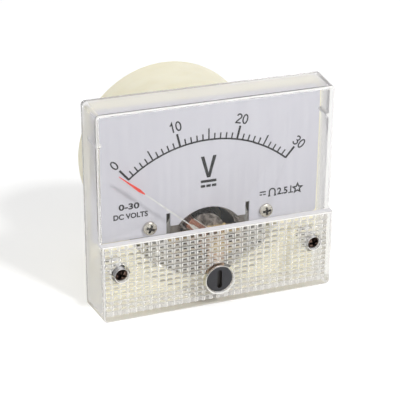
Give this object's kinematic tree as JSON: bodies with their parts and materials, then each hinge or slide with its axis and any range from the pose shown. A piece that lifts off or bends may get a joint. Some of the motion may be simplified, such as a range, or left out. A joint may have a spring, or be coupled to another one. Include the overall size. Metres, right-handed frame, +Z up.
{
  "type": "analog panel meter",
  "caption": "Moving-coil panel voltmeter: clear cover with a prismatic lower block, printed dial, swinging pointer, zero adjuster, round barrel and rear terminals.",
  "frame": {"origin": "on the axis of the round barrel, in the plane where the flange meets the panel", "axes": "+X to the right as seen from the front, +Y from the front to the rear along the barrel, +Z up"},
  "size_m": [0.064, 0.056, 0.056],
  "materials": {
    "clear_cover": "clear moulded acrylic, a little cloudy",
    "housing": "ivory moulded plastic, satin",
    "cover_screw": "brown passivated steel",
    "dial": "sheet painted matt pale grey",
    "ink": "black printing ink",
    "nickel": "nickel plated steel",
    "frame_alloy": "die-cast alloy, satin",
    "iron": "soft iron, dark oxide",
    "magnet": "ground magnet alloy",
    "brass": "turned brass",
    "bronze": "phosphor bronze strip",
    "tinned": "tinned brass",
    "resistor": "lacquered film resistor",
    "red_wire": "red insulated wire",
    "blue_wire": "blue insulated wire",
    "green_wire": "green insulated wire",
    "dark_plastic": "dark grey moulded plastic",
    "aluminium": "bright aluminium",
    "copper_winding": "enamelled copper wire",
    "steel": "polished steel",
    "red_tip": "aluminium painted red"
  },
  "bodies": {
    "case": {"front_cover": "clear_cover", "rear_housing": "housing", "cover_screw_left": "cover_screw", "cover_screw_right": "cover_screw", "dial_plate": "dial", "dial_scale": "ink", "dial_screw_left": "nickel", "dial_screw_right": "nickel", "movement_frame": "frame_alloy", "frame_screw_left": "nickel", "frame_screw_right": "nickel", "yoke_ring": "iron", "core_magnet": "magnet", "core_support": "brass", "front_bridge": "bronze", "front_bridge_screw": "nickel", "front_jewel_screw": "brass", "front_lock_nut": "brass", "rear_bridge": "bronze", "rear_bridge_screw": "nickel", "rear_jewel_screw": "brass", "mounting_stud_left": "nickel", "mounting_stud_right": "nickel", "terminal_bolt_left": "nickel", "terminal_bolt_right": "nickel", "fixing_nut_left": "nickel", "fixing_nut_right": "nickel", "solder_lug_left": "tinned", "solder_lug_right": "tinned", "terminal_washer_left": "nickel", "terminal_washer_right": "nickel", "terminal_spring_washer_left": "nickel", "terminal_spring_washer_right": "nickel", "clamp_nut_left": "nickel", "clamp_nut_right": "nickel", "series_resistor": "resistor", "lead_left": "red_wire", "lead_right": "blue_wire", "lead_coil": "green_wire"},
    "zero_adjuster": {"zero_adjuster": "dark_plastic", "adjuster_clip": "nickel"},
    "zero_lever": {"zero_lever": "bronze"},
    "moving_coil": {"coil_former": "aluminium", "coil_winding": "copper_winding", "front_pivot": "steel", "rear_pivot": "steel", "balance_cross": "brass", "pointer_arm": "aluminium", "pointer_tip": "red_tip", "balance_weight_left": "brass", "balance_weight_right": "brass", "balance_weight_tail": "brass", "front_hairspring": "bronze", "rear_hairspring": "bronze"}
  },
  "joints": [
    {"name": "zero_adjust", "type": "hinge", "parent": "case", "child": "zero_adjuster", "pos_m": [0, -0.0119, -0.0206], "axis": [0, 1, 0], "range_deg": [-50, 50]},
    {"name": "lever_swing", "type": "hinge", "parent": "case", "child": "zero_lever", "pos_m": [0, -0.0088, -0.0118], "axis": [0, 1, 0], "range_deg": [-4.4, 4.4]},
    {"name": "pointer_swing", "type": "hinge", "parent": "zero_lever", "child": "moving_coil", "pos_m": [0, 0, -0.0118], "axis": [0, 1, 0], "range_deg": [-2, 100.4], "stiffness_Nm_per_rad": 0.000005, "deforming": ["front_hairspring", "rear_hairspring"]}
  ],
  "couplings": [
    {"joint": "lever_swing", "follows": "zero_adjust", "ratio": 0.087}
  ]
}
